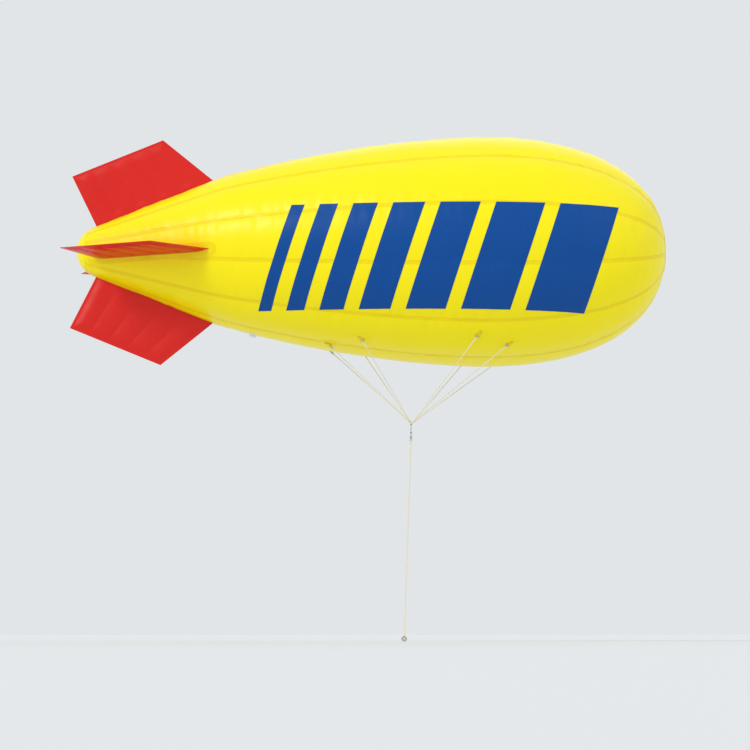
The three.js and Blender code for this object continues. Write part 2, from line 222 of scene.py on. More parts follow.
# Its whipping: the thread, how far valleys and crowns stand out, the core in splice radii
WHIPPING = {"thread": 1.2 * MM, "valley": 0.1 * MM, "crown": 0.5 * MM, "core": 0.9}
STRAND_CREASE = 65 * DEGREE  # strands are drawn with six sides and shaded round
LAY_STEPS = 8  # a strand's steps in one turn of the lay
EYE_STEPS = 18  # the same, where the rope bends round a wire

# Tether: distances run down it from the ring's lowest wire
FOOT = Vector((3.331 - HULL["origin"], 0, -3.956))
SWIVEL = {"eye": 8.1 * MM, "wire": 3.5 * MM, "stem": 4 * MM, "stem_end": 46 * MM, "gap": 1.5 * MM}
BARREL = {"bore": 4.5 * MM, "radius": 12 * MM, "top": 24 * MM, "bore_end": 48 * MM, "end": 62 * MM}
GROOVES = (0.25, 0.42)  # the barrel's grooves, in shares of its length
GROOVE_DEPTH = 0.8 * MM
LOWER_EYE = {"radius": 13 * MM, "at": 73 * MM}
THIMBLE = {
    "bore": 8 * MM,
    "cheek": 24.5 * MM,
    "half_width": 8.6 * MM,
    "lip": 6.9 * MM,
    "shoulder": 20.6 * MM,
    "shoulder_half": 4.4 * MM,
    "groove": 18.9 * MM,
    "round": 0.9 * MM,
}

VALVE = {
    "station": 1.8,
    "flange": 70 * MM,
    "thickness": 3 * MM,
    "edge": 0.8 * MM,
    "collar": 28 * MM,
    "height": 22 * MM,
    "wall": 4 * MM,
    "flare": 9 * MM,
    "bead": 0.6 * MM,
}
# Its cap: how far the skirt reaches down round the collar, and the top and the knob stand up
CAP = {
    "radius": 34 * MM,
    "gap": 0.6 * MM,
    "skirt": 5 * MM,
    "top": 7.5 * MM,
    "knob": 14 * MM,
    "knob_height": 6.8 * MM,
    "ribs": 48,
    "rib": 1.1 * MM,
}

# The print on each flank: bars that lean forward and widen towards the nose
PRINT_WIDTHS = (0.13, 0.18, 0.24, 0.31, 0.39, 0.48, 0.59)
PRINT = {
    "rear": -1.60,
    "gap": 0.15,
    "low": (-0.690, -0.748),
    "high": (0.315, 0.292),
    "lean": 0.34,
    "cell": 14 * MM,
    "thickness": 1.5 * MM,
}

# The photograph's view: from floor level, looking up a little
CAMERA = {"place": (-0.4396, -22.0, -3.8792), "tilt": 6.775 * DEGREE, "lens": 104.755}
SENSOR = 36.0
VIEW_END = 2000

FLOOR = {"size": 1200, "below": 1 * MM, "colour": "#e4e5e6", "roughness": 0.9}
STUDIO = {"colour": "#ecf0f3", "strength": 0.9}
# Each sun: name, strength, angle across, turn
SUNS = (
    ("key", 1.0, 16 * DEGREE, (59 * DEGREE, 0, -40 * DEGREE)),
    ("fill", 0.2, 60 * DEGREE, (60 * DEGREE, 0, 60 * DEGREE)),
    ("back", 0.2, 40 * DEGREE, (50 * DEGREE, 0, 165 * DEGREE)),
)


# Modelling

def activate(obj):
    for other in bpy.context.view_layer.objects:
        other.select_set(False)
    obj.select_set(True)
    bpy.context.view_layer.objects.active = obj


@contextmanager
def editing(obj, select="SELECT"):
    """Edit mode on one piece, with all of it selected or none."""
    activate(obj)
    bpy.ops.object.mode_set(mode="EDIT")
    bpy.ops.mesh.select_all(action=select)
    yield
    bpy.ops.object.mode_set(mode="OBJECT")


def modified(obj, kind, **settings):
    """Adds a modifier and applies it."""
    modifier = obj.modifiers.new(kind, kind)
    for name, value in settings.items():
        setattr(modifier, name, value)
    activate(obj)
    bpy.ops.object.modifier_apply(modifier=modifier.name)
    return obj


def rounded(obj, width):
    """Bevels a piece's sharp edges."""
    return modified(obj, "BEVEL", width=width, segments=2, limit_method="ANGLE")


def linked(name, data):
    """A new object in the scene."""
    obj = bpy.data.objects.new(name, data)
    bpy.context.scene.collection.objects.link(obj)
    return obj


def joined(pieces):
    activate(pieces[0])
    for piece in pieces:
        piece.select_set(True)
    if len(pieces) > 1:
        bpy.ops.object.join()
    return pieces[0]


def facing(obj, direction):
    """Turns a sheet's faces round if they look away from a direction."""
    obj.data.update()
    if obj.data.polygons[0].normal.dot(direction) < 0:
        with editing(obj):
            bpy.ops.mesh.flip_normals()
    return obj


def posed(obj, origin, x, y, z):
    """Stands a shape drawn at the origin in its frame."""
    obj.matrix_world = Matrix.Translation(origin) @ Matrix((x, y, z)).transposed().to_4x4()
    return obj


def fixed(obj):
    """Moves a piece's place into its mesh."""
    activate(obj)
    bpy.ops.object.transform_apply(location=True, rotation=True, scale=True)
    return obj


def placed(obj, origin, x, y, z):
    return fixed(posed(obj, origin, x, y, z))


def settled(obj, form, lift, origin, x, y, z):
    """Drops a flat shape from its frame along its own -Z onto the hull."""
    modified(
        posed(obj, origin, x, y, z),
        "SHRINKWRAP",
        target=form,
        wrap_method="PROJECT",
        wrap_mode="ABOVE_SURFACE",
        use_project_z=True,
        use_positive_direction=False,
        use_negative_direction=True,
        offset=lift,
    )
    return fixed(obj)


def square_to(axis):
    """Two directions square to an axis, so that first, second and axis are a frame."""
    spare = FORWARD if abs(axis.y) > 0.9 else Vector((0, 1, 0))
    first = spare.cross(axis).normalized()
    return first, axis.cross(first)


def upright(obj, origin, axis):
    """Puts a shape drawn about +Z on an axis."""
    first, second = square_to(axis)
    return placed(obj, origin, first, second, axis)


def panel(columns, rows, place):
    """A grid whose shares across and along are moved to their places."""
    bpy.ops.mesh.primitive_grid_add(
        x_subdivisions=columns, y_subdivisions=rows, size=1, location=(0.5, 0.5, 0)
    )
    obj = bpy.context.object
    bpy.ops.object.transform_apply(location=True)
    for vertex in obj.data.vertices:
        vertex.co = place(vertex.co.x, vertex.co.y)
    return obj


def drawn(points):
    """A chain of edges, extruded from point to point."""
    bpy.ops.mesh.primitive_plane_add(size=1)
    obj = bpy.context.object
    with editing(obj):
        bpy.ops.mesh.merge(type="CENTER")
        bpy.ops.transform.translate(value=points[0])
        for here, there in zip(points, points[1:]):
            step = Vector(there) - Vector(here)
            bpy.ops.mesh.extrude_region_move(TRANSFORM_OT_translate={"value": step})
    return obj


def turned(profile, steps):
    """A profile of (radius, height) spun round +Z and closed."""
    obj = drawn([(radius, 0, height) for radius, height in profile])
    with editing(obj):
        bpy.ops.mesh.spin(steps=steps, angle=2 * math.pi, center=(0, 0, 0), axis=(0, 0, 1))
        bpy.ops.mesh.select_all(action="SELECT")
        bpy.ops.mesh.remove_doubles(threshold=1e-6)
        bpy.ops.mesh.normals_make_consistent(inside=False)
    return obj


def tube(points, radius, closed=False, resolution=1):
    """A round tube along points, as a mesh."""
    curve = bpy.data.curves.new("tube", "CURVE")
    curve.dimensions = "3D"
    curve.bevel_depth = radius
    curve.bevel_resolution = resolution
    curve.use_fill_caps = not closed
    spline = curve.splines.new("POLY")
    spline.points.add(len(points) - 1)
    for knot, point in zip(spline.points, points):
        knot.co = (*point, 1)
    spline.use_cyclic_u = closed
    activate(linked("tube", curve))
    bpy.ops.object.convert(target="MESH")
    return bpy.context.object


def disc(radius, steps, rings):
    """A flat disc with evenly spaced rings of faces."""
    bpy.ops.mesh.primitive_circle_add(vertices=steps, radius=radius, fill_type="NGON")
    obj = bpy.context.object
    with editing(obj):
        for _ in range(rings - 1):
            bpy.ops.mesh.inset(thickness=radius / rings)
        bpy.ops.mesh.poke()
    return obj


def wire_ring(centre, axis, radius, wire, steps, sides):
    """A ring of round wire about an axis."""
    bpy.ops.mesh.primitive_torus_add(
        major_segments=steps, minor_segments=sides, major_radius=radius, minor_radius=wire
    )
    return upright(bpy.context.object, centre, axis)


def shown(obj, name, body, material, replaces=(), crease=38 * DEGREE):
    """Names a piece, smooths it, and gives it its body, its finish and what it stands for."""
    obj.name = name
    obj.data.name = name
    activate(obj)
    bpy.ops.object.shade_smooth_by_angle(angle=crease)
    obj.data.materials.clear()
    obj.data.materials.append(material)
    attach(obj, body)
    if replaces:
        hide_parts(*replaces)
    return obj


# Paths

def distances(points):
    """How far along a path each of its points lies."""
    return [0.0, *accumulate((b - a).length for a, b in zip(points, points[1:]))]


def evenly(points, count):
    """Walks a path in equal steps, and gives the point and the direction at each."""
    lengths = distances(points)
    k = 0
    for i in range(count + 1):
        distance = lengths[-1] * i / count
        while k < len(points) - 2 and lengths[k + 1] < distance:
            k += 1
        share = (distance - lengths[k]) / (lengths[k + 1] - lengths[k])
        yield points[k].lerp(points[k + 1], share), (points[k + 1] - points[k]).normalized()


# The hull's surface

def bezier(a, b, c, d, t):
    s = 1 - t
    return a * s**3 + b * (3 * s * s * t) + c * (3 * s * t * t) + d * t**3


def hull_outline():
    """Points of place along the axis and radius, evenly spaced from tip to tip, and the
    outline's length."""
    fine = 400
    sweep = math.pi / 2 - TAIL["slope"]
    points = [
        Vector((1 - math.cos(sweep * i / fine), math.sin(sweep * i / fine))) * TAIL["tip"]
        for i in range(fine + 1)
    ]
    cone_run = TAIL["cone_end"] - points[-1].x
    rear = points[-1] + Vector((cone_run, cone_run * math.tan(TAIL["slope"])))
    points.append(rear)
    widest = Vector((HULL["widest"], HULL["radius"]))
    tip = Vector((HULL["length"], 0))
    climb = Vector((math.cos(TAIL["slope"]), math.sin(TAIL["slope"]))) * CURVE["rear_handle"]
    behind = widest - Vector((CURVE["front_handle"], 0))
    ahead = widest + Vector((NOSE["side_handle"], 0))
    above = tip + Vector((0, NOSE["tip_handle"]))
    for curve in ((rear, rear + climb, behind, widest), (widest, ahead, above, tip)):
        for i in range(1, fine + 1):
            points.append(bezier(*curve, i / fine))
    length = distances(points)[-1]
    outline = [
        Vector((point.x - HULL["origin"], max(point.y, 0.0)))
        for point, _ in evenly(points, round(length / OUTLINE_STEP))
    ]
    return outline, length


OUTLINE, OUTLINE_LENGTH = hull_outline()


def outline_at(distance):
    """The outline's point and outward normal at a distance along it."""
    last = len(OUTLINE) - 1
    at = min(max(distance / OUTLINE_LENGTH, 0.0), 1.0) * last
    k = min(int(at), last - 1)
    along = OUTLINE[min(k + 2, last)] - OUTLINE[max(k - 1, 0)]
    return OUTLINE[k].lerp(OUTLINE[k + 1], at - k), Vector((-along.y, along.x)).normalized()


def distance_to(number):
    """How far along the outline one of its points lies."""
    return OUTLINE_LENGTH * number / (len(OUTLINE) - 1)


def distance_out_to(radius):
    """How far along the outline the tail reaches a radius."""
    return distance_to(next(i for i, point in enumerate(OUTLINE) if point.y >= radius))


def distance_in_to(radius):
    """How far along the outline the nose comes back in to a radius."""
    widest = number_over(HULL["widest"] - HULL["origin"])
    nose = enumerate(OUTLINE[widest:], start=widest)
    return distance_to(next(i for i, point in nose if point.y <= radius))


def number_over(x):
    """The number of the outline's first point at or past a place along the axis."""
    return bisect_left(OUTLINE, x, key=lambda point: point.x)


def outline_over(x):
    """The outline's point and outward normal at a place along the axis."""
    return outline_at(distance_to(number_over(x)))


GORES_FROM = distance_out_to(GORE["end_radius"])
GORES_TO = distance_in_to(GORE["end_radius"])
GORE_ROWS = round((GORES_TO - GORES_FROM) / GORE["step"])


def round_hull(angle):
    """The direction away from the axis at an angle."""
    return Vector((0, -math.sin(angle), math.cos(angle)))


def swell(distance, angle, radius):
    """How far the inflated film stands out from the outline: pillows, puckers, slack."""
    turn = (angle + HALF_GORE) / (2 * HALF_GORE)
    number = math.floor(turn)
    share = 2 * (turn - number) - 1
    half_width = HALF_GORE * radius
    pillow = PILLOW * half_width * (1 / 3 - share * share)
    from_seam = (1 - abs(share)) * half_width / PUCKER["reach"]
    side = number % GORES + (0.25 if share > 0 else 0.75)
    along_seam = Vector((distance / PUCKER["length"], PUCKER["apart"] * side, PUCKER["seed"]))
    fade = min(1.0, half_width / FADE_WIDTH)
    depth = PUCKER["depth"] * noise.noise(along_seam)
    pucker = depth * from_seam * math.exp(1 - from_seam) * fade
    place = Vector((distance, radius * math.sin(angle), radius * math.cos(angle)))
    slack = SLACK["depth"] * noise.noise(place / SLACK["length"]) * fade
    return pillow + pucker + slack


def hull_point(distance, angle, lift=0.0):
    """The film's point at a distance along the outline and an angle round the axis."""
    point, normal = outline_at(distance)
    out = swell(distance, angle, point.y) + lift
    radius = max(point.y + normal.y * out, 0.0)
    return Vector((point.x + normal.x * out, 0, 0)) + round_hull(angle) * radius


def hull_radius(x, angle):
    """The film's distance from the axis at a place along it."""
    k = number_over(x)
    a, b = OUTLINE[k - 1], OUTLINE[k]
    radius = a.lerp(b, (x - a.x) / (b.x - a.x)).y
    return radius + swell(distance_to(k), angle, radius)


# Materials

def linear(code):
    """A colour as Blender holds it, from an sRGB hex value."""
    parts = [int(code[i : i + 2], 16) / 255 for i in (1, 3, 5)]
    return [p / 12.92 if p <= 0.04045 else ((p + 0.055) / 1.055) ** 2.4 for p in parts] + [1.0]


def new_material(name):
    material = bpy.data.materials.new(name)
    material.use_nodes = True
    return material, material.node_tree.nodes["Principled BSDF"]


def node(material, kind, settings=None, **inputs):
    """Adds a node. An input is a value, or another node's output that is linked."""
    made = material.node_tree.nodes.new(kind)
    for name, value in (settings or {}).items():
        setattr(made, name, value)
    for name, value in inputs.items():
        socket = made.inputs[int(name[1:]) if name[1:].isdigit() else name.replace("_", " ")]
        if isinstance(value, bpy.types.NodeSocket):
            material.node_tree.links.new(value, socket)
        else:
            socket.default_value = value
    return made


def link(material, output, shader, name):
    material.node_tree.links.new(output, shader.inputs[name])


def film_waves(material, place):
    """The relief of slack film, in soft waves about 160 mm long."""
    slack = node(
        material, "ShaderNodeTexNoise",
        Vector=place, Scale=1 / (160 * MM), Detail=2.0, Roughness=0.4,
    )
    waves = node(
        material, "ShaderNodeBump", Height=slack.outputs["Fac"], Strength=0.5, Distance=5 * MM
    )
    return waves.outputs["Normal"]


def pvc_film(name, colour, deep):
    """PVC film, calendered and welded: a smooth gloss that its slack and the faint
    orange peel of the calender rollers break up, with a little dust in the colour."""
    material, shader = new_material(name)
    place = node(material, "ShaderNodeTexCoord").outputs["Object"]
    dust = node(
        material, "ShaderNodeTexNoise",
        Vector=place, Scale=1 / (700 * MM), Detail=3.0, Roughness=0.6,
    )
    tint = node(
        material, "ShaderNodeMix", {"data_type": "RGBA"},
        _0=dust.outputs["Fac"], _6=linear(deep), _7=linear(colour),
    )
    link(material, tint.outputs[2], shader, "Base Color")
    smears = node(
        material, "ShaderNodeTexNoise",
        Vector=place, Scale=1 / (120 * MM), Detail=4.0, Roughness=0.55,
    )
    gloss = node(
        material, "ShaderNodeMapRange", Value=smears.outputs["Fac"], To_Min=0.26, To_Max=0.42
    )
    link(material, gloss.outputs["Result"], shader, "Roughness")
    peel = node(
        material, "ShaderNodeTexNoise",
        Vector=place, Scale=1 / (12 * MM), Detail=1.0, Roughness=0.5,
    )
    skin = node(
        material, "ShaderNodeBump",
        Height=peel.outputs["Fac"], Strength=0.25, Distance=0.4 * MM,
        Normal=film_waves(material, place),
    )
    link(material, skin.outputs["Normal"], shader, "Normal")
    shader.inputs["IOR"].default_value = 1.53
    shader.inputs["Specular IOR Level"].default_value = 0.22
    return material


def printed_ink(name, colour, deep):
    """Screen ink on film: duller than the film, with a mottle that is drawn 30 mm across,
    coarser than a screen leaves it, so that it shows."""
    material, shader = new_material(name)
    place = node(material, "ShaderNodeTexCoord").outputs["Object"]
    mottle = node(
        material, "ShaderNodeTexNoise",
        Vector=place, Scale=1 / (30 * MM), Detail=3.0, Roughness=0.6,
    )
    tint = node(
        material, "ShaderNodeMix", {"data_type": "RGBA"},
        _0=mottle.outputs["Fac"], _6=linear(deep), _7=linear(colour),
    )
    link(material, tint.outputs[2], shader, "Base Color")
    gloss = node(
        material, "ShaderNodeMapRange", Value=mottle.outputs["Fac"], To_Min=0.36, To_Max=0.5
    )
    link(material, gloss.outputs["Result"], shader, "Roughness")
    link(material, film_waves(material, place), shader, "Normal")
    shader.inputs["IOR"].default_value = 1.5
    shader.inputs["Specular IOR Level"].default_value = 0.18
    return material


def polyester_rope(name, colour, deep):
    """Polyester yarn, twisted: dull and slightly furry. Its fibres are drawn as a grain of
    1.6 mm, coarser than they are, so that they show."""
    material, shader = new_material(name)
    place = node(material, "ShaderNodeTexCoord").outputs["Object"]
    yarn = node(
        material, "ShaderNodeTexNoise",
        Vector=place, Scale=1 / (1.6 * MM), Detail=2.0, Roughness=0.7,
    )
    tint = node(
        material, "ShaderNodeMix", {"data_type": "RGBA"},
        _0=yarn.outputs["Fac"], _6=linear(deep), _7=linear(colour),
    )
    link(material, tint.outputs[2], shader, "Base Color")
    fibres = node(
        material, "ShaderNodeBump", Height=yarn.outputs["Fac"], Strength=0.6, Distance=0.4 * MM
    )
    link(material, fibres.outputs["Normal"], shader, "Normal")
    shader.inputs["Roughness"].default_value = 0.82
    shader.inputs["Sheen Weight"].default_value = 0.15
    return material


def woven_webbing(name, colour, deep):
    """Polyester webbing: an even weave of small raised cells. They are 2 mm across, coarser
    than real yarns, so that they show."""
    material, shader = new_material(name)
    place = node(material, "ShaderNodeTexCoord").outputs["Object"]
    weave = node(
        material, "ShaderNodeTexVoronoi", {"distance": "CHEBYCHEV"},
        Vector=place, Scale=1 / (2 * MM), Randomness=0.25,
    )
    tint = node(
        material, "ShaderNodeMix", {"data_type": "RGBA"},
        _0=weave.outputs["Distance"], _6=linear(colour), _7=linear(deep),
    )
    link(material, tint.outputs[2], shader, "Base Color")
    cells = node(
        material, "ShaderNodeBump",
        Height=weave.outputs["Distance"], Strength=0.7, Distance=0.5 * MM,
    )
    link(material, cells.outputs["Normal"], shader, "Normal")
    shader.inputs["Roughness"].default_value = 0.78
    return material


def polished_steel(name, colour, deep):
    """Stainless steel, drawn and tumbled: bright, with faint stains that dull its gloss."""
    material, shader = new_material(name)
    place = node(material, "ShaderNodeTexCoord").outputs["Object"]
    stains = node(
        material, "ShaderNodeTexNoise",
        Vector=place, Scale=1 / (14 * MM), Detail=5.0, Roughness=0.65,
    )
    tint = node(
        material, "ShaderNodeMix", {"data_type": "RGBA"},
        _0=stains.outputs["Fac"], _6=linear(deep), _7=linear(colour),
    )
    link(material, tint.outputs[2], shader, "Base Color")
    gloss = node(
        material, "ShaderNodeMapRange", Value=stains.outputs["Fac"], To_Min=0.16, To_Max=0.36
    )
    link(material, gloss.outputs["Result"], shader, "Roughness")
    shader.inputs["Metallic"].default_value = 1.0
    return material


def moulded_plastic(name, colour, deep):
    """Polypropylene, injection moulded: matt from the tool's spark-eroded grain, which is
    drawn 1.5 mm across, coarser than it is, so that it shows."""
    material, shader = new_material(name)
    place = node(material, "ShaderNodeTexCoord").outputs["Object"]
    grain = node(
        material, "ShaderNodeTexNoise",
        Vector=place, Scale=1 / (1.5 * MM), Detail=2.0, Roughness=0.6,
    )
    tint = node(
        material, "ShaderNodeMix", {"data_type": "RGBA"},
        _0=grain.outputs["Fac"], _6=linear(deep), _7=linear(colour),
    )
    link(material, tint.outputs[2], shader, "Base Color")
    pits = node(
        material, "ShaderNodeBump", Height=grain.outputs["Fac"], Strength=0.3, Distance=0.2 * MM
    )
    link(material, pits.outputs["Normal"], shader, "Normal")
    shader.inputs["Roughness"].default_value = 0.48
    shader.inputs["IOR"].default_value = 1.49
    return material


YELLOW_FILM = pvc_film("yellow_pvc_film", "#fff000", "#ffea00")
TAPE_FILM = pvc_film("yellow_pvc_welding_tape", "#fbe400", "#f3d900")
RED_FILM = pvc_film("red_pvc_film", "#e0261c", "#d61d16")
BLUE_INK = printed_ink("blue_screen_ink", "#004d9c", "#00468f")
ROPE = polyester_rope("cream_polyester_rope", "#f6f1de", "#e2dcc4")
WEBBING = woven_webbing("yellow_polyester_webbing", "#f7e21c", "#cdb40c")
STEEL = polished_steel("polished_stainless_steel", "#cfd1d3", "#a9acb0")
PLASTIC = moulded_plastic("white_moulded_polypropylene", "#f5f5f1", "#e9e9e4")


# Envelope

def gore_distance(along):
    return GORES_FROM + (GORES_TO - GORES_FROM) * along


def gore_radius(distance):
    """The outline's radius along the gores."""
    return max(outline_at(distance)[0].y, GORE["end_radius"])


def gore_surface(number):
    """One gore's outer face, with its columns closer together towards the seams."""
    middle = 2 * HALF_GORE * number

    def place(along, across):
        distance = gore_distance(along)
        share = 1 - 2 * across
        eased = math.copysign(1 - (1 - abs(share)) ** GORE["crowding"], share)
        gap = GORE["gap"] / gore_radius(distance)
        return hull_point(distance, middle + eased * (HALF_GORE - gap))

    return panel(GORE_ROWS, GORE["columns"], place)


def gore_cut():
    """The flat gore's width, length and area."""
    length = GORES_TO - GORES_FROM
    steps = 600
    widths = [
        2 * HALF_GORE * outline_at(gore_distance((i + 0.5) / steps))[0].y for i in range(steps)
    ]
    return max(widths), length, sum(widths) * length / steps


def make_envelope():
    """The gores, each a welded sheet held out by the gas. Returns the hull's form."""
    width, length, area = gore_cut()
    surfaces = [gore_surface(number) for number in range(GORES)]
    form = joined([linked("hull_form", surface.data.copy()) for surface in surfaces])
    with editing(form):
        bpy.ops.mesh.remove_doubles(threshold=3 * GORE["gap"])
    for number, gore in enumerate(surfaces, start=1):
        modified(gore, "SOLIDIFY", thickness=GORE["shell"], offset=-1, use_even_offset=True)
        label = f"{number:02d}"
        shown(
            gore, "gore_panel_" + label, "balloon", YELLOW_FILM,
            ["envelope_gore_" + label],
        )
    return form


def make_seam_tapes(form):
    """A welded tape over each seam between gores. Returns the hull's form with its tapes."""
    outer_faces = []
    for number in range(GORES):
        middle = (2 * number + 1) * HALF_GORE

        def place(along, across, lift=TAPE["lift"]):
            distance = gore_distance(along)
            angle = (1 - 2 * across) * TAPE["half_width"] / gore_radius(distance)
            return hull_point(distance, middle + angle, lift)

        def place_outer(along, across):
            return place(along, across, TAPE["lift"] + TAPE["thickness"])

        outer_faces.append(panel(GORE_ROWS, TAPE["columns"], place_outer))
        tape = panel(GORE_ROWS, TAPE["columns"], place)
        modified(tape, "SOLIDIFY", thickness=TAPE["thickness"], offset=1)
        label = f"{number + 1:02d}"
        shown(tape, "seam_tape_" + label, "balloon", TAPE_FILM)
    return joined([linked("taped_form", form.data.copy())] + outer_faces)


def make_end_discs():
    """The round discs that close the gores' ends at both tips."""
    for name, out in (("tail", -FORWARD), ("nose", FORWARD)):
        low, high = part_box(name + "_cap")
        rim = (high.y - low.y) / 2
        if name == "nose":
            tip, rim_distance = OUTLINE_LENGTH, distance_in_to(rim)
        else:
            tip, rim_distance = 0.0, distance_out_to(rim)
        cap = disc(1, END_DISC["sides"], END_DISC["rings"])
        for vertex in cap.data.vertices:
            share = vertex.co.xy.length
            angle = math.atan2(vertex.co.y, vertex.co.x)
            distance = tip + (rim_distance - tip) * share
            vertex.co = hull_point(distance, angle, TAPE["lift"] + TAPE["thickness"])
        facing(cap, out)
        modified(cap, "SOLIDIFY", thickness=END_DISC["thickness"], offset=1)
        rounded(cap, END_DISC["edge"])
        shown(cap, name + "_disc", "balloon", YELLOW_FILM, [name + "_cap"])


# Fins. In a fin's own plane, X runs to the nose and Y away from the hull's axis.

CORNERS = {
    name: Vector((station - HULL["origin"], out)) for name, (station, out) in FIN_CORNERS.items()
}


def hull_in_plane(fin, x):
    """How far out in the fin's plane the film lies, at a place along the hull."""
    _, out, _, drop = fin
    offset = Vector((0, 0, -drop))
    sideways = offset - out * offset.dot(out)
    radius = HULL["radius"]
    for _ in range(4):  # each round brings the radius nearer to the film's at this angle
        reach = math.sqrt(max(radius * radius - sideways.length_squared, 0.0))
        point = sideways + out * reach
        angle = math.atan2(-point.y, point.z)
        radius = hull_radius(x, angle)
    return math.sqrt(max(radius * radius - sideways.length_squared, 0.0)) - offset.dot(out)


def edge_distance(point, a, b):
    """How far a point of the fin's plane lies from the line through two corners."""
    along = (b - a).normalized()
    away = point - a
    return abs(along.x * away.y - along.y * away.x)


def smooth(share):
    share = min(max(share, 0.0), 1.0)
    return share * share * (3 - 2 * share)


def fin_half_thickness(point, across_share, height_share):
    """Half the fin's thickness past its thin edge: tubes between welds, and a flat hem."""
    from_edge = min(edge_distance(point, CORNERS[a], CORNERS[b]) for a, b in FREE_EDGES)
    rise = (from_edge - FIN["hem"]) / FIN["shoulder"]
    shoulder = math.sin(math.pi / 2 * min(max(rise, 0.0), 1.0))
    in_tube = 2 * ((across_share * TUBES["count"]) % 1.0) - 1
    tube_height = 1 - TUBES["groove"] * in_tube * in_tube
    (root_start, root_rise), (tip_start, tip_rise) = TUBE_ENDS["root"], TUBE_ENDS["tip"]
    near_root = smooth((height_share - root_start) / root_rise)
    near_tip = smooth((1 - height_share - tip_start) / tip_rise)
    quilted = 1 + (tube_height - 1) * near_root * near_tip
    at = point * WRINKLE["per_metre"]
    wrinkle = WRINKLE["share"] * noise.noise(Vector((at.x, at.y, WRINKLE["seed"])))
    return (FIN["thickness"] - FIN["edge"]) / 2 * shoulder * (quilted + wrinkle)


def fin_roots(fin):
    """The point where each column of the fin meets the film, found by halving."""
    columns = FIN_GRID["columns"]
    roots = []
    for i in range(columns + 1):
        tip = CORNERS["rear_tip"].lerp(CORNERS["front_tip"], i / columns)
        root = CORNERS["rear_root"].lerp(CORNERS["front_root"], i / columns)
        inside, outside = 1.3, 0.0  # shares of the way from the tip to the root
        for _ in range(24):
            middle = (inside + outside) / 2
            point = tip.lerp(root, middle)
            if point.y < hull_in_plane(fin, point.x):
                inside = middle
            else:
                outside = middle
        roots.append(tip.lerp(root, outside))
    return roots


def make_fin(fin, roots):
    """An inflated fin: two sheets welded along a hem and in lines that make its tubes."""
    name, out, across, drop = fin
    swells = []

    def place(share, up):
        tip = CORNERS["rear_tip"].lerp(CORNERS["front_tip"], share)
        point = roots[round(share * FIN_GRID["columns"])].lerp(tip, up)
        swells.append(fin_half_thickness(point, share, up))
        return Vector((point.x, point.y, 0))

    obj = panel(FIN_GRID["columns"], FIN_GRID["rows"], place)
    obj.data.attributes.new("height", "FLOAT", "POINT").data.foreach_set("value", swells)
    modified(obj, "SOLIDIFY", thickness=FIN["edge"], offset=0)
    height = obj.data.attributes["height"]
    for vertex in obj.data.vertices:
        vertex.co.z += math.copysign(height.data[vertex.index].value, vertex.co.z)
    obj.data.attributes.remove(height)
    modified(
        obj, "BEVEL", width=FIN["round"], segments=2, limit_method="ANGLE",
        angle_limit=60 * DEGREE,
    )
    placed(obj, Vector((0, 0, -drop)), FORWARD, out, across)
    shown(obj, "fin_panel_" + name, "balloon", RED_FILM, ["fin_" + name])


def flange_path(roots):
    """Pairs of the flange's inner and outer points, once round the fin's root."""
    path = []
    for side, start, end in ((1, roots[0].x, roots[-1].x), (-1, roots[-1].x, roots[0].x)):
        for i in range(FLANGE["straight"]):
            x = start + (end - start) * (i + 0.5) / FLANGE["straight"]
            root = min(roots, key=lambda point: abs(point.x - x))
            column = roots.index(root) / (len(roots) - 1)
            inner = FIN["edge"] / 2 + fin_half_thickness(root, column, 0.0) + FLANGE["gap"]
            path.append((Vector((x, side * inner)), Vector((x, side * FLANGE["reach"]))))
        centre = Vector((end, 0))
        for i in range(FLANGE["bend"] + 1):
            angle = side * math.pi / 2 - math.pi * i / FLANGE["bend"]
            turn = Vector((math.cos(angle), math.sin(angle)))
            inner = centre + turn * (FIN["edge"] / 2 + FLANGE["gap"])
            path.append((inner, centre + turn * FLANGE["reach"]))
    return path


def make_flange(fin, roots, form):
    """The tape that welds a fin's root to the hull, all round it."""
    name, out, _, drop = fin
    path = flange_path(roots)
    count = len(path)

    def place(around, outwards):
        inner, outer = path[round(around * count) % count]
        return inner.lerp(outer, outwards).to_3d()

    flange = panel(count, FLANGE["rings"], place)
    with editing(flange):
        bpy.ops.mesh.remove_doubles(threshold=1e-6)
        bpy.ops.mesh.normals_make_consistent(inside=False)
    facing(flange, UP)
    start = Vector((0, 0, -drop)) + out * (HULL["radius"] + DROP["sheet"])
    settled(flange, form, SHEET_LIFT, start, FORWARD, out.cross(FORWARD), out)
    modified(flange, "SOLIDIFY", thickness=FLANGE["thickness"], offset=1)
    shown(
        flange, "fin_flange_" + name, "balloon", TAPE_FILM,
        ["fin_band_" + name],
    )


def make_fins(form):
    for fin in FINS:
        roots = fin_roots(fin)
        make_fin(fin, roots)
        make_flange(fin, roots, form)


# Print

